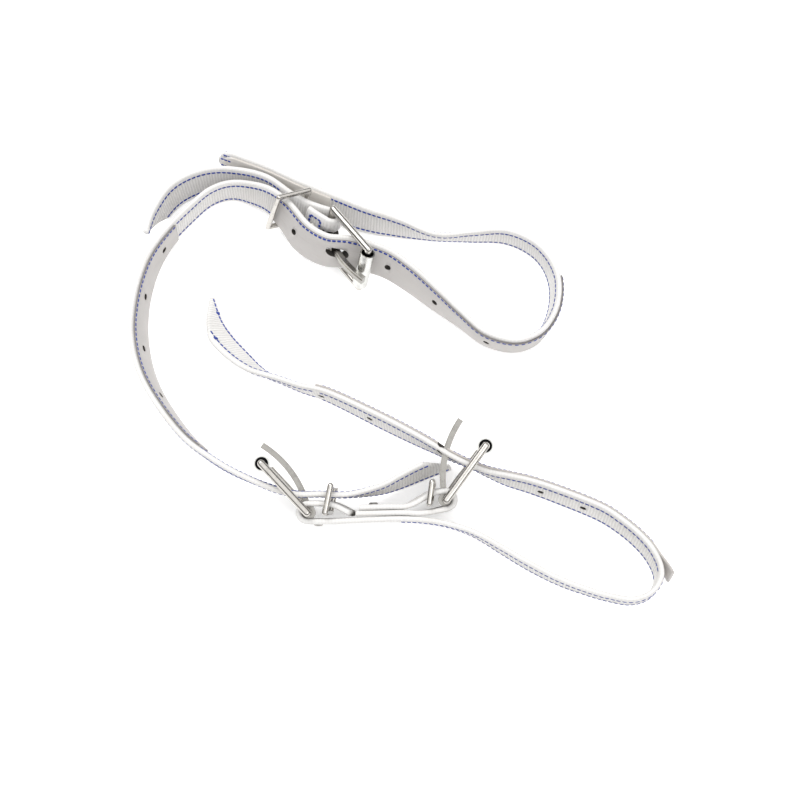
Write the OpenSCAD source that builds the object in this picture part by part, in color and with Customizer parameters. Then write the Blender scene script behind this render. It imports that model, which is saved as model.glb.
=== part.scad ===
// Strap set for a pair of tree climbing spurs: a long calf strap and a short
// foot strap of woven webbing, closed by three roller buckles.
// Millimetres, +Z up. The set stands on its edges on the floor, z = 0.

/* [Webbing] */
// width of both webbing straps
strap_w = 25; // [22:0.5:26]
// thickness of the woven webbing
web_t = 3.2; // [2.4:0.1:3.3]
// thickness of the leather lining
lining_t = 1.4; // [0.8:0.1:1.6]

/* [Buckles] */
// diameter of the buckle wire
wire_d = 4.6; // [4:0.1:4.7]
// distance between the two side wires of a buckle, centre to centre
buckle_w = 33; // [32.5:0.1:33.5]
// distance from the bar to the roller, centre to centre
buckle_l = 39; // [37:0.5:40]
// outside diameter of the rollers
roller_d = 9.4; // [8:0.1:9.6]
// length of the rollers
roller_l = 27; // [22:0.5:28]
// width of the prongs
prong_w = 4.8; // [3.6:0.1:5]

/* [Keepers] */
// diameter of the keeper wire
keeper_d = 3.4; // [2.8:0.1:3.5]

/* [Hidden] */
$fn = 48;
half_w = strap_w / 2;
web_half = web_t / 2;
lay_gap = 0.15;       // glue line between webbing and lining
lining_in = web_half + lay_gap;
lining_out = lining_in + lining_t;
lining_trim = 2;      // the lining is this much narrower on each edge
wire_r = wire_d / 2;
fold_in = wire_r + 1.3;
fold_mid = fold_in + web_half;
prong_fit = 0.1;      // running clearance of prongs and rollers on the wire
prong_t = 3;
curl_t = 2;           // wall of the curl round the bar
prong_l = 48;         // reach of a prong from the bar to its tip
prong_arch = 5;
arch_r = (prong_l * prong_l / 4 + prong_arch * prong_arch) / (2 * prong_arch);
slot_depth = 38;
slot_half = prong_t / 2 + 1.2;
ridge_w = 1.6;
ridge_h = 0.6;
rivet_d = 6;
rivet_t = 1.2;
set_middle = [-4.3, 7.5, 0];   // middle of the whole set on the floor
steps = 4;            // rings between two route points

// ---- buckle stations: [x, y, z of the bar's middle, heading of the folded
// strap's legs, lean of the bar, swing of the frame, swing of the prong, side
// to which the prong arches]
upper_bar = [-45, 102, 17.8, 148, -22, 156, 148.5, -1];
left_bar = [-54, -87, 18.4, 0, -19, 133, 125, -1];
right_bar = [27, -79, 18.4, 180, 20, 234, 259, 1];

// ---- routes: [x, y, lift above the floor, lean toward the left-hand side]
long_route = [
    [-117, 155.5, 0, 6], [-104, 150, 0, 6], [-85, 141.5, 0, 9], [-64, 129.5, 0, 15],
    [-44, 120, 0, 18], [-22, 111, 0, 12], [0, 105, 0, 0], [23, 99, 0, -20],
    [45, 99, 0, -14], [66, 99, 0, -8], [82, 92, 0, -5], [92, 81, 0, -1],
    [97, 66, 0, 6], [96, 50, 0, 10], [91, 37, 0, 11], [83, 28, 0, 10],
    [70, 24, 0, 10], [53, 29, 0, 8], [38, 42, 0, 3], [22, 56, 0, -8],
    [6, 69, 2, -16], [-10, 78, 6, -22], [-31, 83, 9.5, -26], [-47, 85, 9.5, -28],
    [-61, 94, 9.5, -28], [-72, 109, 10.2, -21], [-83, 121, 7, -14], [-96, 129, 2, -6],
    [-109, 132, 0, 2], [-122, 127, 0, 4], [-134, 115, 0, 4], [-147, 99, 0, 2],
    [-156, 82, 0, -4], [-161, 64, 0, -8], [-163, 45, 0, -12], [-162, 26, 0, -16],
    [-157, 6, 0, -17], [-147, -14, 0, -16], [-129, -38, 0, -14], [-110, -54, 2, -12],
    [-90, -66, 6, -15], [-66, -76, 9.6, -19], [-46, -77, 9.8, -18], [-30, -77, 9, -17],
    [-12, -72, 4, -8], [0, -66, 1, 0], [12, -60, 0, 4], [30, -52.5, 0, 5]];
upper_route = [
    [-160, 96, 0, 0], [-155, 112, 0, 4], [-144, 129, 0, 8], [-126, 139, 0, 8],
    [-106, 140, 0, 8], [-86, 132.5, 3, 12], [-69.2, 116.6, 6.7, 20], [-56.2, 110.4, 4.4, 22],
    [-41.6, 105.6, 3.7, 22]];
foot_route = [
    [-55, -91.9, 4.4, -19], [-42, -91.9, 4.4, -19], [-20, -91, 3.8, -18], [0, -90.2, 3, -17],
    [15, -91, 3, -17], [30, -93.5, 2, -16], [45, -99, 1, -13], [60, -108, 0, -10],
    [76, -118, 0, -9], [93, -127, 0, -10], [110, -133.5, 0, -11], [122, -137, 0, -11],
    [134, -139, 0, -10], [144, -136, 0, -6], [150, -129, 0, -2], [151, -121, 0, 0],
    [147, -111, 0, 0], [140, -102, 0, 0], [130, -93, 0, 0], [118, -85, 0, -1],
    [95, -75, 0, 0], [78, -69, 1, 2], [64, -66, 4, 6], [53, -63.5, 8, 14],
    [42, -60, 12.4, 18], [31, -54, 10, 15], [20, -46, 5, 10], [8, -38, 1, 6],
    [-12, -27, 0, 4], [-43, -11, 0, 8], [-61, -5, 0, 14], [-73, 0, 0, 17],
    [-81, 3, 0, 20], [-90, 8, 0, 29], [-100, 17, 0, 38], [-110, 28, 0, 40],
    [-118, 41, 0, 36], [-124, 59, 0, 32]];
tab_outer_route = [
    [-26, -87.5, 4.9, -18], [0, -86.8, 4.2, -17], [13, -86.9, 4.2, -18], [28, -83.9, 4.3, -20]];
tab_inner_route = [
    [-24, -84, 5.9, -18], [-6, -83.5, 5.4, -17], [4, -83, 5.5, -18], [12.5, -78.8, 6.9, -19],
    [19, -75.4, 7.7, -20], [28, -74.1, 7.9, -20]];
left_inner_route = [
    [-55, -82.1, 7.8, -19], [-46, -82.1, 7.8, -19], [-38, -83, 7.4, -19], [-28, -87.6, 5.6, -19]];
upper_short_route = [[-47, 97.5, 7.6, -22], [-54, 102.4, 7.4, -22], [-59.8, 107.2, 6.6, -21]];

module on_floor() translate(-set_middle) children();

// ---- sweeping a flat band along a route
function wrap_last(r, i) = r[max(0, min(len(r) - 1, i))];
function spline(a, b, c, d, t) =
    0.5 * (2 * b + (c - a) * t + (2 * a - 5 * b + 4 * c - d) * t * t + (3 * b - a - 3 * c + d) * t * t * t);
function route_at(r, u) =
    let (i = min(len(r) - 2, floor(u)))
    spline(wrap_last(r, i - 1), r[i], r[i + 1], wrap_last(r, i + 2), u - i);
function heading_at(r, u) =
    let (a = route_at(r, max(0, u - 0.02)), b = route_at(r, min(len(r) - 1, u + 0.02)))
    atan2(b[1] - a[1], b[0] - a[0]);
function rest_height(lean) = half_w * cos(lean) + web_half * abs(sin(lean));
function centre_at(q) = [q[0], q[1], max(0, q[2]) + rest_height(q[3])];
function width_dir(h, lean) = [-sin(h) * sin(lean), cos(h) * sin(lean), cos(lean)];
function face_dir(h, lean) = [-sin(h) * cos(lean), cos(h) * cos(lean), -sin(lean)];
function ramp(x) = max(0, min(1, x));

// One ring of four corners. cut_a and cut_b take [bottom, top] off the width
// at the two ends over `span` of the route; flare bends the start outward.
function ring(r, u, u0, u1, d0, d1, trim, cut_a, cut_b, span, flare) =
    let (q = route_at(r, u), h = heading_at(r, u),
        w = width_dir(h, q[3]), m = face_dir(h, q[3]),
        ka = ramp(1 - (u - u0) / span), kb = ramp(1 - (u1 - u) / span),
        low = -half_w + trim + cut_a[0] * ka + cut_b[0] * kb,
        high = half_w - trim - cut_a[1] * ka - cut_b[1] * kb,
        f = flare * pow(ramp(1 - (u - u0) / 1.6), 2), c = centre_at(q))
    [c + w * low + m * (d0 + f), c + w * high + m * (d0 + f),
     c + w * high + m * (d1 + f), c + w * low + m * (d1 + f)];

module band(r, u0, u1, d0, d1, trim = 0, cut_a = [0, 0], cut_b = [0, 0], span = 1, flare = 0) {
    n = round((u1 - u0) * steps);
    points = [for (i = [0:n]) each
        ring(r, u0 + (u1 - u0) * i / n, u0, u1, d0, d1, trim, cut_a, cut_b, span, flare)];
    sides = [for (i = [0:n - 1], k = [0:3])
        let (a = 4 * i + k, b = 4 * i + (k + 1) % 4)
        each k < 2 ? [[a, b, b + 4], [a, b + 4, a + 4]] : [[a, b, a + 4], [b, b + 4, a + 4]]];
    caps = [[3, 2, 1], [3, 1, 0], [4 * n, 4 * n + 1, 4 * n + 2], [4 * n, 4 * n + 2, 4 * n + 3]];
    on_floor() polyhedron(points = points, faces = concat(sides, caps));
}

// a round punched hole across a band, at route station u
module punch(r, u, hole_d = 4) {
    q = route_at(r, u);
    on_floor() translate(centre_at(q)) rotate([-q[3], 0, heading_at(r, u)])
        rotate([90, 0, 0]) cylinder(d = hole_d, h = 12, center = true, $fn = 24);
}

// ---- a buckle drawn about its bar: the bar along Z, the legs of its strap
// toward +X
module at_bar(b) on_floor() translate([b[0], b[1], b[2]]) rotate([-b[4], 0, b[3]]) children();

module wire(p, q, d) {
    v = q - p;
    translate(p) rotate([0, acos(v[2] / norm(v)), atan2(v[1], v[0])]) cylinder(d = d, h = norm(v));
}

module wire_ring(corners, d) {
    for (i = [0:len(corners) - 1]) {
        wire(corners[i], corners[(i + 1) % len(corners)], d);
        translate(corners[i]) sphere(d = d);
    }
}

module frame(b) {
    z = buckle_w / 2;
    color("silver") at_bar(b) rotate([0, 0, b[5]])
        wire_ring([[0, 0, -z], [buckle_l, 0, -z], [buckle_l, 0, z], [0, 0, z]], wire_d);
}

module roller(b) {
    color("gainsboro") at_bar(b) rotate([0, 0, b[5]]) translate([buckle_l, 0, 0])
        difference() {
            cylinder(d = roller_d, h = roller_l, center = true);
            cylinder(r = wire_r + prong_fit, h = roller_l + 2, center = true);
            for (s = [-1, 1])
                translate([0, 0, s * (roller_l / 2 - 2)])
                    cylinder(d = roller_d - 1.6, h = 4.01, center = true);
        }
}

// a tongue of sheet curled round the bar at one end and arched toward its
// front, with a raised ridge along its middle
module prong(b) {
    curl_in = wire_r + prong_fit;
    centre = arch_r - prong_arch;
    half = asin(prong_l / 2 / arch_r);
    color("silver") at_bar(b) rotate([0, 0, b[6]]) scale([1, b[7], 1])
        difference() {
            union() {
                cylinder(r = curl_in + curl_t, h = prong_w, center = true);
                translate([prong_l / 2, -centre, 0]) rotate([0, 0, 90 - half]) {
                    rotate_extrude(angle = 2 * half - 2.5)
                        translate([arch_r - prong_t / 2, -prong_w / 2]) square([prong_t, prong_w]);
                    rotate_extrude(angle = 2 * half - 3.5)
                        translate([arch_r, -ridge_w / 2]) square([prong_t / 2 + ridge_h, ridge_w]);
                }
            }
            cylinder(r = curl_in, h = prong_w + 2, center = true);
        }
}

// the slot that a prong passes through, cut across the strap
module prong_slot(b) {
    at_bar(b) rotate([0, 0, b[6]]) translate([prong_l / 2, b[7] * prong_arch, 0]) {
        for (s = [-1, 1])
            translate([0, s * slot_half, 0]) rotate([0, 90, 0])
                cylinder(d = prong_w + 1.8, h = slot_depth, center = true, $fn = 24);
        cube([slot_depth, 2 * slot_half, prong_w + 1.8], center = true);
    }
}

// half a turn of webbing round the bar, open on the side of its legs
module fold(b) {
    at_bar(b) rotate([0, 0, 90]) rotate_extrude(angle = 180)
        translate([fold_in, -half_w]) square([web_t, strap_w]);
}

module prong_gap(b) {
    at_bar(b) cylinder(r = fold_in + web_t + 0.8, h = prong_w + 1.6, center = true);
}

// a rectangular wire loop across a strap, long side along the face direction
module keeper(x, y, z, heading, lean, reach, height) {
    color("silver") on_floor() translate([x, y, z]) rotate([-lean, 0, heading])
        wire_ring([[0, -reach / 2, -height / 2], [0, reach / 2, -height / 2],
            [0, reach / 2, height / 2], [0, -reach / 2, height / 2]], keeper_d);
}

// a rivet head lying on one face of a band; side is +1 for its left face
module rivet(r, u, side) {
    q = route_at(r, u);
    color("gainsboro") on_floor() translate(centre_at(q)) rotate([-q[3], 0, heading_at(r, u)])
        rotate([-90 * side, 0, 0]) translate([0, 0, web_half + 0.05])
            cylinder(d1 = rivet_d, d2 = rivet_d - 1.6, h = rivet_t, $fn = 32);
}

// ---- sub-parts
loop_hole_u = [14.5, 16.9, 18.9, 20.8, 24.3];
shank_hole_u = [31.5, 33.4, 35.3, 36.9];
foot_hole_u = [19.4, 20.6, 28.2, 29.2];

module long_holes() {
    for (u = loop_hole_u) punch(long_route, u);
    for (u = shank_hole_u) punch(long_route, u);
    prong_slot(upper_bar);
    prong_slot(left_bar);
}

module foot_holes() {
    for (u = foot_hole_u) punch(foot_route, u);
    prong_slot(right_bar);
}

module long_strap() {
    color("white") difference() {
        band(long_route, 0, 47, -web_half, web_half, cut_a = [8, 8], cut_b = [0, 21], span = 1);
        long_holes();
    }
}

module loop_lining() {
    color("darkgray") difference() {
        band(long_route, 12, 25.5, lining_in, lining_out, trim = lining_trim);
        long_holes();
    }
}

module shank_lining() {
    color("darkgray") difference() {
        band(long_route, 30.75, 38.5, lining_in, lining_out, trim = lining_trim);
        long_holes();
    }
}

module splice_patch() {
    color("tan")
        band(long_route, 0.3, 4, -lining_out, -lining_in, trim = lining_trim, cut_a = [5, 5], span = 0.7);
}

module upper_strap() {
    color("white") difference() {
        union() {
            band(upper_route, 0, 8, -web_half, web_half, cut_a = [21, 0], span = 1.6);
            fold(upper_bar);
            band(upper_short_route, 0, 2, -web_half, web_half);
        }
        prong_gap(upper_bar);
    }
}

module foot_strap() {
    color("white") difference() {
        union() {
            band(foot_route, 0, 37, -web_half, web_half, cut_b = [0, 21], span = 2);
            fold(left_bar);
            band(left_inner_route, 0, 3, -web_half, web_half);
        }
        prong_gap(left_bar);
        foot_holes();
    }
}

module foot_lining() {
    color("darkgray") difference() {
        band(foot_route, 14.6, 29.4, -lining_out, -lining_in, trim = lining_trim, flare = -4.5);
        foot_holes();
    }
}

module right_tab() {
    color("white") difference() {
        union() {
            band(tab_outer_route, 0, 3, -web_half, web_half);
            band(tab_inner_route, 0, 5, -web_half, web_half);
            fold(right_bar);
        }
        prong_gap(right_bar);
    }
}

module upper_frame() frame(upper_bar);
module upper_roller() roller(upper_bar);
module upper_prong() prong(upper_bar);
module upper_keeper() keeper(-70.7, 114.3, 20.6, 116, -18, 21.7, 32.4);
module left_frame() frame(left_bar);
module left_roller() roller(left_bar);
module left_prong() prong(left_bar);
module left_keeper() keeper(-41, -79.7, 20.8, -12, -18.5, 16, 30.8);
module right_frame() frame(right_bar);
module right_roller() roller(right_bar);
module right_prong() prong(right_bar);
module right_keeper() keeper(18.6, -75, 19.8, -8, -20, 12.6, 30.8);
module upper_rivet() rivet(upper_short_route, 1.1, 1);
module left_rivet() rivet(foot_route, 0.63, -1);
module right_rivet() rivet(tab_inner_route, 0.5, 1);

long_strap();
loop_lining();
shank_lining();
splice_patch();
upper_strap();
foot_strap();
foot_lining();
right_tab();
upper_frame();
upper_roller();
upper_prong();
upper_keeper();
left_frame();
left_roller();
left_prong();
left_keeper();
right_frame();
right_roller();
right_prong();
right_keeper();
upper_rivet();
left_rivet();
right_rivet();
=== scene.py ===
import math
import random

import bmesh
import bpy
from mathutils import Matrix, Vector


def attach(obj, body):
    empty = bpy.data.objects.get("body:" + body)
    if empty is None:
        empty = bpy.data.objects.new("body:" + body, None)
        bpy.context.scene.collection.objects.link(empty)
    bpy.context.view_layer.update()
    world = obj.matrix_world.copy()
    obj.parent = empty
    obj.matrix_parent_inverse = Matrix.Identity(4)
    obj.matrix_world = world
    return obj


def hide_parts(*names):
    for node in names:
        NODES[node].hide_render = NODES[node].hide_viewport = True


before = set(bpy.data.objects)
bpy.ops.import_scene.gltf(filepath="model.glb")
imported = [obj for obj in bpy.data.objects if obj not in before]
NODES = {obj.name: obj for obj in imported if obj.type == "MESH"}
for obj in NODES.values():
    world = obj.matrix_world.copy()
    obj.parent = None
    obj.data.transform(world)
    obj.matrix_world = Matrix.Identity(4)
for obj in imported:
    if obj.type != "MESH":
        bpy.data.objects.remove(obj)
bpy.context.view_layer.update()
MM = 0.001
SET_MIDDLE = Vector((-4.3, 7.5, 0.0))  # the routes' own middle, as in part.scad

# ---------------------------------------------------------------- sizes, mm
HALF_W = 12.5
WEB_HALF = 1.6
LINING_IN = 1.75
LINING_OUT = 3.15
LINING_TRIM = 2.0
CROWN = 0.08          # how far a band's face swells in its middle
WIRE_R = 2.3
FOLD_MID = WIRE_R + 1.3 + WEB_HALF
GAP_R = FOLD_MID + WEB_HALF + 0.8
PRONG_L = 48.0
PRONG_ARCH = 5.0
SLOT_DEPTH = 38.0
HOLE_D = 4.0
HOLE_DEPTH = 12.0
PRONG_W = 4.8
SLOT_HALF = 2.7
SLOT_ROOM = 1.8       # a slot is this much wider than its prong
GAP_ROOM = 1.6        # and the gap in a fold this much
BUCKLE_L = 39.0
BORE_R = 4.0          # everything nearer to a roller's axis is inside it
RING_STEP = 1.2
RIB_PITCH = 1.9       # weave ribs along the webbing
YARN_PITCH = 0.8      # yarns across it
STITCH_PERIOD = 3.3
STITCH_PROUD = 0.12    # how far the thread's middle stands off the face
LINED_PROUD = -0.1     # the same on leather, where it is pulled in
STITCH_LENGTH = 2.9
ROW_IN = 4.0          # stitch rows on bare webbing, from the edge
LINED_ROW_IN = 2.9    # the visible row along the top of a lining

# buckles: bar's middle x, y, z, heading of the legs, lean, frame swing, prong swing
# and the side to which the prong arches
BARS = {
    "upper": (-45, 102, 17.8, 148, -22, 156, 148.5, -1),
    "left": (-54, -87, 18.4, 0, -19, 133, 125, -1),
    "right": (27, -79, 18.4, 180, 20, 234, 259, 1),
}

# routes: x, y, lift above the floor, lean toward the left-hand side
LONG = [
    (-117, 155.5, 0, 6), (-104, 150, 0, 6), (-85, 141.5, 0, 9), (-64, 129.5, 0, 15),
    (-44, 120, 0, 18), (-22, 111, 0, 12), (0, 105, 0, 0), (23, 99, 0, -20), (45, 99, 0, -14),
    (66, 99, 0, -8), (82, 92, 0, -5), (92, 81, 0, -1), (97, 66, 0, 6), (96, 50, 0, 10),
    (91, 37, 0, 11), (83, 28, 0, 10), (70, 24, 0, 10), (53, 29, 0, 8), (38, 42, 0, 3),
    (22, 56, 0, -8), (6, 69, 2, -16), (-10, 78, 6, -22), (-31, 83, 9.5, -26), (-47, 85, 9.5, -28),
    (-61, 94, 9.5, -28), (-72, 109, 10.2, -21), (-83, 121, 7, -14), (-96, 129, 2, -6),
    (-109, 132, 0, 2), (-122, 127, 0, 4), (-134, 115, 0, 4), (-147, 99, 0, 2), (-156, 82, 0, -4),
    (-161, 64, 0, -8), (-163, 45, 0, -12), (-162, 26, 0, -16), (-157, 6, 0, -17),
    (-147, -14, 0, -16), (-129, -38, 0, -14), (-110, -54, 2, -12), (-90, -66, 6, -15),
    (-66, -76, 9.6, -19), (-46, -77, 9.8, -18), (-30, -77, 9, -17), (-12, -72, 4, -8),
    (0, -66, 1, 0), (12, -60, 0, 4), (30, -52.5, 0, 5)]
UPPER = [
    (-160, 96, 0, 0), (-155, 112, 0, 4), (-144, 129, 0, 8), (-126, 139, 0, 8), (-106, 140, 0, 8),
    (-86, 132.5, 3, 12), (-69.2, 116.6, 6.7, 20), (-56.2, 110.4, 4.4, 22), (-41.6, 105.6, 3.7, 22)]
UPPER_SHORT = [
    (-47, 97.5, 7.6, -22), (-54, 102.4, 7.4, -22), (-59.8, 107.2, 6.6, -21)]
FOOT = [
    (-55, -91.9, 4.4, -19), (-42, -91.9, 4.4, -19), (-20, -91, 3.8, -18), (0, -90.2, 3, -17),
    (15, -91, 3, -17), (30, -93.5, 2, -16), (45, -99, 1, -13), (60, -108, 0, -10),
    (76, -118, 0, -9), (93, -127, 0, -10), (110, -133.5, 0, -11), (122, -137, 0, -11),
    (134, -139, 0, -10), (144, -136, 0, -6), (150, -129, 0, -2), (151, -121, 0, 0),
    (147, -111, 0, 0), (140, -102, 0, 0), (130, -93, 0, 0), (118, -85, 0, -1), (95, -75, 0, 0),
    (78, -69, 1, 2), (64, -66, 4, 6), (53, -63.5, 8, 14), (42, -60, 12.4, 18), (31, -54, 10, 15),
    (20, -46, 5, 10), (8, -38, 1, 6), (-12, -27, 0, 4), (-43, -11, 0, 8), (-61, -5, 0, 14),
    (-73, 0, 0, 17), (-81, 3, 0, 20), (-90, 8, 0, 29), (-100, 17, 0, 38), (-110, 28, 0, 40),
    (-118, 41, 0, 36), (-124, 59, 0, 32)]
TAB_OUTER = [
    (-26, -87.5, 4.9, -18), (0, -86.8, 4.2, -17), (13, -86.9, 4.2, -18), (28, -83.9, 4.3, -20)]
TAB_INNER = [
    (-24, -84, 5.9, -18), (-6, -83.5, 5.4, -17), (4, -83, 5.5, -18), (12.5, -78.8, 6.9, -19),
    (19, -75.4, 7.7, -20), (28, -74.1, 7.9, -20)]
LEFT_INNER = [
    (-55, -82.1, 7.8, -19), (-46, -82.1, 7.8, -19), (-38, -83, 7.4, -19), (-28, -87.6, 5.6, -19)]


# ---------------------------------------------------------------- routes
def spline(a, b, c, d, t):
    return [0.5 * (2 * b[k] + (c[k] - a[k]) * t + (2 * a[k] - 5 * b[k] + 4 * c[k] - d[k]) * t * t
                   + (3 * b[k] - a[k] - 3 * c[k] + d[k]) * t ** 3) for k in range(4)]


def route_at(route, u):
    last = len(route) - 1
    i = min(last - 1, int(math.floor(u)))
    return spline(route[max(0, i - 1)], route[i], route[i + 1], route[min(last, i + 2)], u - i)


def heading_at(route, u):
    a = route_at(route, max(0, u - 0.02))
    b = route_at(route, min(len(route) - 1, u + 0.02))
    return math.atan2(b[1] - a[1], b[0] - a[0])


def width_dir(h, lean):
    return Vector((-math.sin(h) * math.sin(lean), math.cos(h) * math.sin(lean), math.cos(lean)))


def face_dir(h, lean):
    return Vector((-math.sin(h) * math.cos(lean), math.cos(h) * math.cos(lean), -math.sin(lean)))


def centre_at(q):
    lean = math.radians(q[3])
    rest = HALF_W * math.cos(lean) + WEB_HALF * abs(math.sin(lean))
    return Vector((q[0], q[1], max(0.0, q[2]) + rest)) - SET_MIDDLE


class Ring:
    """A station on a strap: its centre, the direction across the width and the left-hand face."""

    def __init__(self, centre, across, left):
        self.c = centre
        self.w = across
        self.m = left


def ring_at(route, u):
    q = route_at(route, u)
    h = heading_at(route, u)
    lean = math.radians(q[3])
    return Ring(centre_at(q), width_dir(h, lean), face_dir(h, lean))


def along(route, u0, u1):
    """Evenly spaced stations from u0 to u1; u1 < u0 walks the route backward."""
    fine = max(4, int(abs(u1 - u0) * 24))
    us = [u0 + (u1 - u0) * i / fine for i in range(fine + 1)]
    points = [centre_at(route_at(route, u)) for u in us]
    lengths = [0.0]
    for a, b in zip(points, points[1:]):
        lengths.append(lengths[-1] + (b - a).length)
    count = max(2, int(round(lengths[-1] / RING_STEP)))
    rings = []
    j = 0
    for i in range(count + 1):
        goal = lengths[-1] * i / count
        while j < fine - 1 and lengths[j + 1] < goal:
            j += 1
        f = (goal - lengths[j]) / max(1e-9, lengths[j + 1] - lengths[j])
        ring = ring_at(route, us[j] + (us[j + 1] - us[j]) * f)
        if u1 < u0:
            ring.m = -ring.m
        rings.append(ring)
    return rings


def bar_axes(name):
    x, y, z, heading, lean = BARS[name][:5]
    h = math.radians(heading)
    a = math.radians(lean)
    legs = Vector((math.cos(h), math.sin(h), 0.0))
    return Vector((x, y, z)) - SET_MIDDLE, legs, face_dir(h, a), width_dir(h, a)


def fold(name, side):
    """Half a turn round a bar, starting on the side `side` * face direction."""
    centre, legs, face, across = bar_axes(name)
    rings = []
    for i in range(1, 12):
        p = math.pi * i / 12
        offset = face * (side * math.cos(p)) - legs * math.sin(p)
        left = legs * (side * math.sin(p)) - face * math.cos(p)
        rings.append(Ring(centre + offset * FOLD_MID, across, left))
    return rings


def lengths_of(rings):
    total = [0.0]
    for a, b in zip(rings, rings[1:]):
        total.append(total[-1] + (b.c - a.c).length)
    return total


# ---------------------------------------------------------------- materials
def socket(node, *names):
    for name in names:
        if name in node.inputs:
            return node.inputs[name]
    raise KeyError(names)


def new_material(name):
    mat = bpy.data.materials.new(name)
    mat.use_nodes = True
    tree = mat.node_tree
    shader = tree.nodes["Principled BSDF"]
    return mat, tree, shader


def math_node(tree, operation, a, b=None, c=None):
    node = tree.nodes.new("ShaderNodeMath")
    node.operation = operation
    for i, value in enumerate((a, b, c)):
        if value is None:
            continue
        if isinstance(value, (int, float)):
            node.inputs[i].default_value = value
        else:
            tree.links.new(value, node.inputs[i])
    return node.outputs[0]


def mix_colour(tree, factor, a, b):
    node = tree.nodes.new("ShaderNodeMix")
    node.data_type = "RGBA"
    if isinstance(factor, (int, float)):
        node.inputs[0].default_value = factor
    else:
        tree.links.new(factor, node.inputs[0])
    for index, value in ((6, a), (7, b)):
        if isinstance(value, tuple):
            node.inputs[index].default_value = value + (1.0,)
        else:
            tree.links.new(value, node.inputs[index])
    return node.outputs[2]


def noise(tree, vector, scale, detail=2.0, roughness=0.5):
    node = tree.nodes.new("ShaderNodeTexNoise")
    node.inputs["Scale"].default_value = scale
    node.inputs["Detail"].default_value = detail
    node.inputs["Roughness"].default_value = roughness
    tree.links.new(vector, node.inputs["Vector"])
    return node.outputs["Fac"]


def uv_in_mm(tree):
    """The strap's own coordinates: millimetres along it and across it."""
    node = tree.nodes.new("ShaderNodeUVMap")
    node.uv_map = "strap"
    split = tree.nodes.new("ShaderNodeSeparateXYZ")
    tree.links.new(node.outputs["UV"], split.inputs[0])
    along_mm = math_node(tree, "MULTIPLY", split.outputs[0], 1000.0)
    across_mm = math_node(tree, "MULTIPLY", split.outputs[1], 1000.0)
    join = tree.nodes.new("ShaderNodeCombineXYZ")
    tree.links.new(along_mm, join.inputs[0])
    tree.links.new(across_mm, join.inputs[1])
    return along_mm, across_mm, join.outputs[0]


def add_bump(tree, shader, height, strength, distance):
    bump = tree.nodes.new("ShaderNodeBump")
    bump.inputs["Strength"].default_value = strength
    bump.inputs["Distance"].default_value = distance
    tree.links.new(height, bump.inputs["Height"])
    tree.links.new(bump.outputs["Normal"], shader.inputs["Normal"])


def webbing_material():
    mat, tree, shader = new_material("webbing_weave")
    along_mm, across_mm, place = uv_in_mm(tree)
    wobble = math_node(tree, "MULTIPLY", noise(tree, place, 0.35), 1.2)
    wavy = math_node(tree, "ADD", along_mm, wobble)
    rib_phase = math_node(tree, "MULTIPLY", wavy, 2 * math.pi / RIB_PITCH)
    rib = math_node(tree, "MULTIPLY_ADD", math_node(tree, "SINE", rib_phase), 0.5, 0.5)
    yarn_phase = math_node(tree, "MULTIPLY", across_mm, 2 * math.pi / YARN_PITCH)
    yarn = math_node(tree, "MULTIPLY_ADD", math_node(tree, "SINE", yarn_phase), 0.5, 0.5)
    edge = math_node(tree, "SUBTRACT", HALF_W, math_node(tree, "ABSOLUTE", across_mm))
    band = tree.nodes.new("ShaderNodeMapRange")
    band.inputs["From Min"].default_value = ROW_IN - 0.9
    band.inputs["From Max"].default_value = ROW_IN + 0.5
    tree.links.new(edge, band.inputs["Value"])
    inner = band.outputs["Result"]
    groove = math_node(tree, "SUBTRACT", 1.0, rib)
    strength = math_node(tree, "MULTIPLY_ADD", inner, 0.75, 0.25)
    rib_depth = math_node(tree, "MULTIPLY", groove, strength)
    sunk = math_node(tree, "MULTIPLY", rib_depth, -1.0)
    height = math_node(tree, "ADD", sunk, math_node(tree, "MULTIPLY", yarn, 0.35))
    add_bump(tree, shader, height, 0.5, 0.0003)
    speckle = noise(tree, place, 1.4, 4.0, 0.7)
    spots = math_node(tree, "MULTIPLY", speckle, 0.35)
    # painted shade: the rib grooves are coloured darker as well as sunk by the bump, less so
    # outside the stitch rows, so the edge margins paint lighter; the speckle is the yarn's own
    # uneven tone
    groove_shade_and_speckle = math_node(tree, "MULTIPLY_ADD", rib_depth, 0.55, spots)
    plain = mix_colour(tree, groove_shade_and_speckle, (0.76, 0.75, 0.735), (0.52, 0.505, 0.49))
    soil = noise(tree, place, 0.045, 3.0)
    soil_amount = tree.nodes.new("ShaderNodeMapRange")
    soil_amount.inputs["From Min"].default_value = 0.45
    soil_amount.inputs["From Max"].default_value = 0.75
    soil_amount.inputs["To Max"].default_value = 0.30
    tree.links.new(soil, soil_amount.inputs["Value"])
    colour = mix_colour(tree, soil_amount.outputs["Result"], plain, (0.58, 0.55, 0.51))
    tree.links.new(colour, shader.inputs["Base Color"])
    shader.inputs["Roughness"].default_value = 0.85
    socket(shader, "Sheen Weight").default_value = 0.15
    return mat


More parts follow.
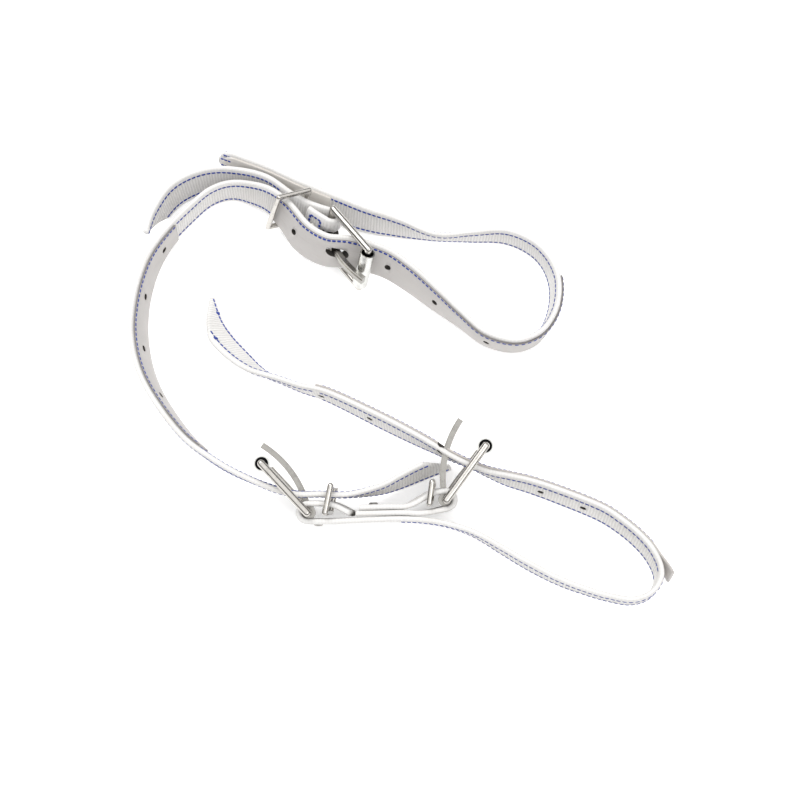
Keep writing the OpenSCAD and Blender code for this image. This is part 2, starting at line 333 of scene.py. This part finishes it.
def leather_material(name, light, dark, crease_shade_colour, edge_shade_colour):
    mat, tree, shader = new_material(name)
    along_mm, across_mm, place = uv_in_mm(tree)
    grain = noise(tree, place, 1.1, 5.0, 0.65)
    cloud = noise(tree, place, 0.07, 3.0)
    base = mix_colour(tree, cloud, light, dark)
    squeeze = tree.nodes.new("ShaderNodeVectorMath")
    squeeze.operation = "MULTIPLY"
    squeeze.inputs[1].default_value = (0.05, 0.9, 1.0)
    tree.links.new(place, squeeze.inputs[0])
    streak = noise(tree, squeeze.outputs[0], 1.0, 3.0, 0.6)
    crease_shade_mask = tree.nodes.new("ShaderNodeMapRange")
    crease_shade_mask.inputs["From Min"].default_value = 0.58
    crease_shade_mask.inputs["From Max"].default_value = 0.72
    crease_shade_mask.inputs["To Max"].default_value = 0.45
    tree.links.new(streak, crease_shade_mask.inputs["Value"])
    # painted shade: the streaked creases, sunk by the bump below, are also coloured darker brown
    wear_and_crease_shade = mix_colour(tree, crease_shade_mask.outputs["Result"], base, crease_shade_colour)
    speck = mix_colour(tree, math_node(tree, "MULTIPLY", grain, 0.30), wear_and_crease_shade, dark)
    # painted shade: the lining's outermost strip and rounded edge are coloured darker, standing in
    # for the shadowed gap between the webbing's edge and the leather
    edge = tree.nodes.new("ShaderNodeMapRange")
    edge.inputs["From Min"].default_value = HALF_W - LINING_TRIM - 0.45
    edge.inputs["From Max"].default_value = HALF_W - LINING_TRIM
    tree.links.new(math_node(tree, "ABSOLUTE", across_mm), edge.inputs["Value"])
    with_edge_shade = mix_colour(tree, edge.outputs["Result"], speck, edge_shade_colour)
    tree.links.new(with_edge_shade, shader.inputs["Base Color"])
    shader.inputs["Roughness"].default_value = 0.62
    folds = math_node(tree, "MULTIPLY", streak, -0.6)
    add_bump(tree, shader, math_node(tree, "ADD", grain, folds), 0.25, 0.0002)
    return mat


def thread_material():
    mat, tree, shader = new_material("blue_thread")
    coords = tree.nodes.new("ShaderNodeTexCoord")
    tint = noise(tree, coords.outputs["Object"], 900.0, 2.0)
    colour = mix_colour(tree, tint, (0.001, 0.008, 0.13), (0.002, 0.045, 0.36))
    tree.links.new(colour, shader.inputs["Base Color"])
    shader.inputs["Roughness"].default_value = 0.5
    return mat


def metal_material(name, colour, roughness):
    mat, tree, shader = new_material(name)
    coords = tree.nodes.new("ShaderNodeTexCoord")
    wear = noise(tree, coords.outputs["Object"], 260.0, 4.0, 0.6)
    dull = tuple(c * 0.62 for c in colour)
    blend = tree.nodes.new("ShaderNodeMapRange")
    blend.inputs["From Min"].default_value = 0.5
    blend.inputs["From Max"].default_value = 0.8
    blend.inputs["To Max"].default_value = 0.7
    tree.links.new(wear, blend.inputs["Value"])
    wear_and_crease_shade = mix_colour(tree, blend.outputs["Result"], colour, dull)
    tree.links.new(wear_and_crease_shade, shader.inputs["Base Color"])
    rough = math_node(tree, "MULTIPLY_ADD", wear, 0.18, roughness)
    tree.links.new(rough, shader.inputs["Roughness"])
    shader.inputs["Metallic"].default_value = 1.0
    return mat


WEBBING = webbing_material()
# leathers: light and dark of the face, the painted shade of its creases, the painted shade of its
# cut edge
LINING = leather_material(
    "grey_leather", (0.56, 0.54, 0.525), (0.46, 0.44, 0.425),
    (0.42, 0.36, 0.32), (0.12, 0.11, 0.11))
FOOT_LEATHER = leather_material(
    "worn_leather", (0.60, 0.58, 0.56), (0.50, 0.47, 0.45), (0.46, 0.38, 0.33), (0.42, 0.39, 0.37))
PATCH = leather_material(
    "pale_leather", (0.66, 0.64, 0.61), (0.58, 0.55, 0.51), (0.52, 0.47, 0.42), (0.50, 0.47, 0.43))
THREAD = thread_material()
# painted shade: the walls of punched holes are coloured near-black, standing in for the shade
# inside the holes
HOLE_SHADE, _, hole_shader = new_material("hole_wall_shade")
hole_shader.inputs["Base Color"].default_value = (0.05, 0.045, 0.04, 1)
hole_shader.inputs["Roughness"].default_value = 0.9
CHROME = metal_material("bright_wire", (0.52, 0.50, 0.47), 0.10)
PRONG_STEEL = metal_material("prong_steel", (0.33, 0.32, 0.30), 0.12)
TUBE = metal_material("bright_tube", (0.60, 0.60, 0.58), 0.14)
# painted shade: near-black metal for the inside of a roller's bore, standing in for the shade in
# the tube
BORE_SHADE = metal_material("tube_bore_shade", (0.02, 0.02, 0.022), 0.5)
DULL = metal_material("rivet_metal", (0.40, 0.39, 0.37), 0.32)


# ---------------------------------------------------------------- building
def add_object(name, mesh, body):
    obj = bpy.data.objects.new(name, mesh)
    bpy.context.scene.collection.objects.link(obj)
    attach(obj, body)
    return obj


def band_profile(low, high, d0, d1):
    """(across, left) pairs round a flat band with rounded edges and slightly crowned faces."""
    half = (d1 - d0) / 2
    mid = (d0 + d1) / 2
    r = min(half, (high - low) / 4)
    turn = [math.pi * k / 4 for k in range(5)]
    points = [(low + r - r * math.sin(t), mid - half * math.cos(t)) for t in turn]
    points += [(low + (high - low) * f, d1 + CROWN) for f in (0.25, 0.5, 0.75)]
    points += [(high - r + r * math.sin(t), mid + half * math.cos(t)) for t in turn]
    points += [(high - (high - low) * f, d0 - CROWN) for f in (0.25, 0.5, 0.75)]
    return points


def sweep(rings, d0, d1, edges, shift=None):
    """A band along the rings as a mesh. edges(s, total) gives its lowest and highest line, mm."""
    bm = bmesh.new()
    uv = bm.loops.layers.uv.new("strap")
    s = lengths_of(rings)
    total = s[-1]
    rows = []
    place = {}
    for ring, here in zip(rings, s):
        low, high = edges(here, total)
        extra = shift(here) if shift else 0.0
        row = []
        for across, left in band_profile(low, high, d0 + extra, d1 + extra):
            v = bm.verts.new((ring.c + ring.w * across + ring.m * left) * MM)
            place[v] = (here * MM, across * MM)
            row.append(v)
        rows.append(row)
    count = len(rows[0])
    for a, b in zip(rows, rows[1:]):
        for k in range(count):
            n = (k + 1) % count
            bm.faces.new((a[k], a[n], b[n], b[k]))
    bm.faces.new(list(reversed(rows[0])))
    bm.faces.new(rows[-1])
    for face in bm.faces:
        face.smooth = True
        for loop in face.loops:
            loop[uv].uv = place[loop.vert]
    bmesh.ops.recalc_face_normals(bm, faces=bm.faces)
    mesh = bpy.data.meshes.new("band")
    bm.to_mesh(mesh)
    bm.free()
    return mesh


def cutter(holes):
    """Stadium-shaped punches as one mesh: (matrix, half length, radius, depth), mm."""
    bm = bmesh.new()
    for matrix, half, radius, depth in holes:
        outline = []
        for k in range(24):
            a = 2 * math.pi * (k + 0.5) / 24
            x = radius * math.cos(a) + (half if math.cos(a) > 0 else -half)
            outline.append((x, radius * math.sin(a)))
        near = [bm.verts.new((matrix @ Vector((x, y, -depth / 2))) * MM) for x, y in outline]
        far = [bm.verts.new((matrix @ Vector((x, y, depth / 2))) * MM) for x, y in outline]
        for k in range(24):
            n = (k + 1) % 24
            bm.faces.new((near[k], near[n], far[n], far[k]))
        bm.faces.new(list(reversed(near)))
        bm.faces.new(far)
    bmesh.ops.recalc_face_normals(bm, faces=bm.faces)
    mesh = bpy.data.meshes.new("cutter")
    bm.to_mesh(mesh)
    bm.free()
    obj = bpy.data.objects.new("cutter", mesh)
    bpy.context.scene.collection.objects.link(obj)
    return obj


def punched(mesh, holes, material):
    """The mesh in its material, with holes cut through it whose walls carry painted shade."""
    mesh.materials.append(material)
    if not holes:
        return mesh
    tool = cutter(holes)
    tool.data.materials.append(HOLE_SHADE)
    obj = bpy.data.objects.new("blank", mesh)
    bpy.context.scene.collection.objects.link(obj)
    cut = obj.modifiers.new("cut", "BOOLEAN")
    cut.operation = "DIFFERENCE"
    cut.solver = "EXACT"
    cut.material_mode = "TRANSFER"
    cut.object = tool
    bpy.context.view_layer.update()
    graph = bpy.context.evaluated_depsgraph_get()
    done = bpy.data.meshes.new_from_object(obj.evaluated_get(graph))
    tool_mesh = tool.data
    bpy.data.objects.remove(obj)
    bpy.data.objects.remove(tool)
    bpy.data.meshes.remove(mesh)
    bpy.data.meshes.remove(tool_mesh)
    return done


def basis(origin, x, y, z):
    return Matrix((
        (x.x, y.x, z.x, origin.x),
        (x.y, y.y, z.y, origin.y),
        (x.z, y.z, z.z, origin.z),
        (0, 0, 0, 1)))


def round_hole(route, u):
    ring = ring_at(route, u)
    side = ring.w.cross(ring.m)
    return basis(ring.c, side, ring.w, ring.m), 0.0, HOLE_D / 2, HOLE_DEPTH


def prong_slot(name):
    centre, legs, face, across = bar_axes(name)
    p = math.radians(BARS[name][6])
    reach = legs * math.cos(p) + face * math.sin(p)
    swing = face * math.cos(p) - legs * math.sin(p)
    middle = centre + reach * PRONG_L / 2 + swing * (BARS[name][7] * PRONG_ARCH)
    return basis(middle, swing, across, reach), SLOT_HALF, (PRONG_W + SLOT_ROOM) / 2, SLOT_DEPTH


def prong_gap(name):
    centre, legs, face, across = bar_axes(name)
    return basis(centre, legs, face, across), 0.0, GAP_R, PRONG_W + GAP_ROOM


# ---------------------------------------------------------------- stitching
SLOTS = [prong_slot(name) for name in BARS]


def over_slot(point):
    """Whether a stitch centred here would reach over a prong's slot."""
    for matrix, half, radius, depth in SLOTS:
        x, y, z = matrix.inverted() @ point
        beside = half + radius + STITCH_LENGTH / 2
        if abs(x) < beside and abs(y) < radius + 0.5 and abs(z) < depth / 2:
            return True
    return False


# one stitch: place along it as a share of its length, half width, lift, mm
THREAD_SHAPE = (
    (-0.5, 0.25, -0.2), (-0.34, 0.7, 0.0), (0.0, 0.8, 0.05), (0.34, 0.7, 0.0), (0.5, 0.25, -0.2))
THREAD_FLATNESS = 0.4  # its height over its width


def spindle(bm, at, ahead, out, side, length=STITCH_LENGTH):
    """One stitch: a short thread that dips into the webbing at both ends."""
    rows = []
    for x, r, lift in THREAD_SHAPE:
        row = []
        for k in range(6):
            a = math.pi * k / 3
            rise = lift + r * THREAD_FLATNESS * math.sin(a)
            p = at + ahead * (x * length) + side * (r * math.cos(a)) + out * rise
            row.append(bm.verts.new(p * MM))
        rows.append(row)
    for a, b in zip(rows, rows[1:]):
        for k in range(6):
            n = (k + 1) % 6
            bm.faces.new((a[k], a[n], b[n], b[k])).smooth = True
    bm.faces.new(list(reversed(rows[0])))
    bm.faces.new(rows[-1])


def stitch_row(bm, rings, across, left, edges=None, proud=STITCH_PROUD):
    """Evenly spaced stitches along the rings; `left` is the height of the face they lie on."""
    s = lengths_of(rings)
    out_sign = 1.0 if left > 0 else -1.0
    here = 2.0
    j = 0
    while here < s[-1] - 2.0:
        while j < len(s) - 2 and s[j + 1] < here:
            j += 1
        f = (here - s[j]) / max(1e-9, s[j + 1] - s[j])
        a, b = rings[j], rings[j + 1]
        low, high = edges(here, s[-1]) if edges else (-HALF_W, HALF_W)
        if low + 1.6 < across < high - 1.6:
            pa = a.c + a.w * across + a.m * left
            pb = b.c + b.w * across + b.m * left
            out = (a.m * out_sign).normalized()
            ahead = (pb - pa).normalized()
            at = pa.lerp(pb, f) + out * proud
            jitter = random.uniform(-0.10, 0.10)
            if not over_slot(at):
                spindle(bm, at + ahead * jitter, ahead, out, out.cross(ahead))
        here += STITCH_PERIOD


def path_stitches(bm, ring, points, left):
    """Stitches on one flat spot: points are (along, across) corners about the ring, mm."""
    out_sign = 1.0 if left > 0 else -1.0
    ahead = ring.w.cross(ring.m)
    for (x0, y0), (x1, y1) in zip(points, points[1:]):
        length = math.hypot(x1 - x0, y1 - y0)
        count = max(1, round(length / 2.9))
        way = (ahead * (x1 - x0) + ring.w * (y1 - y0)).normalized()
        out = ring.m * out_sign
        for i in range(count):
            f = (i + 0.5) / count
            on_face = ring.c + ahead * (x0 + (x1 - x0) * f) + ring.w * (y0 + (y1 - y0) * f)
            at = on_face + ring.m * left + out * STITCH_PROUD
            spindle(bm, at, way, out, out.cross(way), length=2.3)


def knot(bm, route, u, across, left):
    """A small block of back-stitches that ends a row."""
    for offset in (-1.0, 0.0, 1.0):
        level = across + offset
        path_stitches(bm, ring_at(route, u), [(-1.6, level), (1.6, level)], left)


def finish_stitches(bm, name):
    mesh = bpy.data.meshes.new(name)
    bm.to_mesh(mesh)
    bm.free()
    mesh.materials.append(THREAD)
    return add_object(name, mesh, "straps")


def full(trim=0.0):
    return lambda s, total: (-HALF_W + trim, HALF_W - trim)


def ease(x):
    """x held between 0 and 1."""
    return max(0.0, min(1.0, x))


def rounded(s, half):
    """How far a half-round end draws each edge in, `s` mm from the tip."""
    d = max(0.0, half - s)
    return min(half - 2.0, half - math.sqrt(half * half - d * d))


def slanted(cut, span, at_start=False, top=False):
    """Edges of a band whose end is cut on a slant over `span` mm."""
    def edges(s, total):
        d = s if at_start else total - s
        k = ease(1 - d / span)
        low = -HALF_W + (0 if top else cut * k)
        high = HALF_W - (cut * k if top else 0)
        return low, high
    return edges


# ---------------------------------------------------------------- straps
# stations along each route, counted in route points
LOOP_HOLES = (14.5, 16.9, 18.9, 20.8, 24.3)
SHANK_HOLES = (31.5, 33.4, 35.3, 36.9)
FOOT_HOLES = (19.4, 20.6, 28.2, 29.2)
long_cuts = [round_hole(LONG, u) for u in LOOP_HOLES + SHANK_HOLES]
long_cuts += [prong_slot("upper"), prong_slot("left")]
foot_cuts = [round_hole(FOOT, u) for u in FOOT_HOLES] + [prong_slot("right")]
LOOP_LINED = (12, 25.5)
SHANK_LINED = (30.75, 38.5)
FOOT_LINED = (14.6, 29.4)


LONG_CUT = 20.0       # how far the long strap's slanted tip is cut down
LONG_CUT_SPAN = 18.0


def long_edges(s, total):
    tip = ease(1 - (total - s) / LONG_CUT_SPAN)
    inward = rounded(s, HALF_W)
    return -HALF_W + inward, HALF_W - LONG_CUT * tip - inward


def round_start(half):
    return lambda s, total: (rounded(s, half) - half, half - rounded(s, half))


def strap(name, node, rings, edges, cuts):
    mesh = punched(sweep(rings, -WEB_HALF, WEB_HALF, edges), cuts, WEBBING)
    obj = add_object(name, mesh, "straps")
    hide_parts(node)
    return obj


def lining(name, node, route, span, side, material, cuts, edges=None, shift=None):
    d0, d1 = (LINING_IN, LINING_OUT) if side > 0 else (-LINING_OUT, -LINING_IN)
    mesh = sweep(along(route, *span), d0, d1, edges or full(LINING_TRIM), shift)
    obj = add_object(name, punched(mesh, cuts, material), "straps")
    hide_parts(node)
    return obj


long_rings = along(LONG, 0, len(LONG) - 1)
strap("calf_webbing", "long_strap", long_rings, long_edges, long_cuts)
lining("calf_loop_leather", "loop_lining", LONG, LOOP_LINED, 1, LINING, long_cuts)
lining("shank_leather", "shank_lining", LONG, SHANK_LINED, 1, LINING, long_cuts)
lining("joining_patch", "splice_patch", LONG, (0.3, 4), -1, PATCH, [],
       edges=round_start(HALF_W - LINING_TRIM))

upper_rings = along(UPPER, 0, 7.9) + fold("upper", -1) + along(UPPER_SHORT, 0.14, 2)
upper_edges = slanted(21, 26, at_start=True)
strap("buckle_webbing", "upper_strap", upper_rings, upper_edges, [prong_gap("upper")])

foot_rings = along(LEFT_INNER, 3, 0.11) + fold("left", 1) + along(FOOT, 0.08, len(FOOT) - 1)
foot_edges = slanted(21, 33, top=True)
strap("foot_webbing", "foot_strap", foot_rings, foot_edges, foot_cuts + [prong_gap("left")])
lining("foot_leather", "foot_lining", FOOT, FOOT_LINED, -1, FOOT_LEATHER, foot_cuts,
       shift=lambda s: -4.5 * ease(1 - s / 13.0) ** 2)

tab_rings = along(TAB_INNER, 0, 4.89) + fold("right", -1) + along(TAB_OUTER, 2.93, 0)
strap("short_tab", "right_tab", tab_rings, full(), [prong_gap("right")])

# stitching: two rows on bare webbing, one visible row along the top of a lining
random.seed(7)
ROW = HALF_W - ROW_IN
LINED_ROW = HALF_W - LINED_ROW_IN
long_tail = along(LONG, SHANK_LINED[1], len(LONG) - 1)
bm = bmesh.new()
for level in (-ROW, ROW):
    stitch_row(bm, long_rings, level, -WEB_HALF, edges=long_edges)
    stitch_row(bm, along(LONG, 0, LOOP_LINED[0]), level, WEB_HALF, edges=round_start(HALF_W))
    stitch_row(bm, along(LONG, LOOP_LINED[1], SHANK_LINED[0]), level, WEB_HALF)
    stitch_row(bm, long_tail, level, WEB_HALF, edges=slanted(LONG_CUT, LONG_CUT_SPAN, top=True))
for span in (LOOP_LINED, SHANK_LINED):
    stitch_row(bm, along(LONG, *span), LINED_ROW, LINING_OUT, proud=LINED_PROUD)
finish_stitches(bm, "calf_stitching")

bm = bmesh.new()
lined = along(FOOT, *FOOT_LINED)
tail = along(FOOT, FOOT_LINED[1], len(FOOT) - 1)
for level in (-ROW, ROW):
    stitch_row(bm, along(FOOT, 3, FOOT_LINED[0]), level, -WEB_HALF)
    stitch_row(bm, lined, level, WEB_HALF)
    stitch_row(bm, tail, level, WEB_HALF, edges=foot_edges)
    stitch_row(bm, tail, level, -WEB_HALF, edges=foot_edges)
stitch_row(bm, along(FOOT, 16.2, FOOT_LINED[1]), LINED_ROW, -LINING_OUT, proud=LINED_PROUD)
knot(bm, FOOT, 36.3, -ROW, -WEB_HALF)
knot(bm, FOOT, 35.0, ROW, -WEB_HALF)
finish_stitches(bm, "foot_stitching")

bm = bmesh.new()
outer_band = along(UPPER, 0, 5.6)
for level in (-ROW, ROW):
    for face in (-WEB_HALF, WEB_HALF):
        stitch_row(bm, outer_band, level, face, edges=upper_edges)
box = [(-4.0, 8.5), (4.0, 8.5), (4.0, -8.5), (-4.0, -8.5), (-4.0, 8.5)]
path_stitches(bm, ring_at(UPPER_SHORT, 1.0), box, WEB_HALF)
for across in (6.0, -0.5):
    path_stitches(bm, ring_at(LONG, 0.45), [(2.5, across), (-5.0, across)], -LINING_OUT)
finish_stitches(bm, "buckle_strap_stitching")

# ---------------------------------------------------------------- metal
def inside_roller(node, name):
    """Indices of the faces of a roller's bore and counterbores, the faces that get painted shade.
    """
    centre, legs, face, across = bar_axes(name)
    swing = math.radians(BARS[name][5])
    middle = centre + (legs * math.cos(swing) + face * math.sin(swing)) * BUCKLE_L
    found = []
    for polygon in node.data.polygons:
        offset = (node.matrix_world @ polygon.center) / MM - middle
        if (offset - across * offset.dot(across)).length < BORE_R:
            found.append(polygon.index)
    return found


for name, node in NODES.items():
    if name.endswith(("_frame", "_keeper")):
        finish = CHROME
    elif name.endswith("_prong"):
        finish = PRONG_STEEL
    elif name.endswith("_roller"):
        finish = TUBE
    elif name.endswith("_rivet"):
        finish = DULL
    else:
        continue
    node.data.materials.clear()
    node.data.materials.append(finish)
    # painted shade on the faces inside the roller's bore
    if finish is TUBE:
        node.data.materials.append(BORE_SHADE)
        for index in inside_roller(node, name.split("_")[0]):
            node.data.polygons[index].material_index = 1

# ---------------------------------------------------------------- camera, floor and light
ELEVATION = math.radians(68)
DISTANCE = 1.0
FRAME_WIDTH = 0.488
aim = (Vector((0, -13, 12)) - SET_MIDDLE) * MM
back = Vector((0, -math.cos(ELEVATION), math.sin(ELEVATION)))
camera = bpy.data.objects.new("camera", bpy.data.cameras.new("camera"))
bpy.context.scene.collection.objects.link(camera)
camera.location = aim + back * DISTANCE
camera.rotation_euler = back.to_track_quat("Z", "Y").to_euler()
camera.data.sensor_width = 36
camera.data.lens = 36 * DISTANCE / FRAME_WIDTH
bpy.context.scene.camera = camera

floor_mesh = bpy.data.meshes.new("floor")
FLOOR_HALF = 3.0
FLOOR_Z = -0.0003      # just under the straps' lower edges
signs = ((-1, -1), (1, -1), (1, 1), (-1, 1))
corners = [(x * FLOOR_HALF, y * FLOOR_HALF, FLOOR_Z) for x, y in signs]
floor_mesh.from_pydata(corners, [], [(0, 1, 2, 3)])
floor = bpy.data.objects.new("floor", floor_mesh)
bpy.context.scene.collection.objects.link(floor)
floor_mat, _, floor_shader = new_material("floor_white")
floor_shader.inputs["Base Color"].default_value = (0.93, 0.93, 0.93, 1)
floor_shader.inputs["Roughness"].default_value = 0.9
floor_shader.inputs["Emission Color"].default_value = (1, 1, 1, 1)
floor_shader.inputs["Emission Strength"].default_value = 0.30
floor_mesh.materials.append(floor_mat)


def area_light(name, place, size, power):
    light = bpy.data.lights.new(name, "AREA")
    light.size = size
    light.energy = power
    obj = bpy.data.objects.new(name, light)
    bpy.context.scene.collection.objects.link(obj)
    obj.location = place
    obj.rotation_euler = Vector(place).to_track_quat("Z", "Y").to_euler()


area_light("key", (-0.6, 0.7, 1.5), 1.0, 14)
area_light("fill", (1.0, -0.9, 1.3), 1.4, 8)

world = bpy.data.worlds.new("world")
bpy.context.scene.world = world
world.use_nodes = True
tree = world.node_tree
coords = tree.nodes.new("ShaderNodeTexCoord")
height = tree.nodes.new("ShaderNodeSeparateXYZ")
tree.links.new(coords.outputs["Generated"], height.inputs[0])
sky = tree.nodes.new("ShaderNodeValToRGB")
SKY_STOPS = ((0.0, 0.02), (0.34, 0.04), (0.50, 0.55), (0.80, 1.0))
while len(sky.color_ramp.elements) < len(SKY_STOPS):
    sky.color_ramp.elements.new(0.5)
for element, (place, grey) in zip(sky.color_ramp.elements, SKY_STOPS):
    element.position = place
    element.color = (grey, grey, grey, 1)
tree.links.new(height.outputs[2], sky.inputs[0])
tree.links.new(sky.outputs[0], tree.nodes["Background"].inputs["Color"])
tree.nodes["Background"].inputs["Strength"].default_value = 1.5
bpy.context.scene.view_settings.view_transform = "Standard"
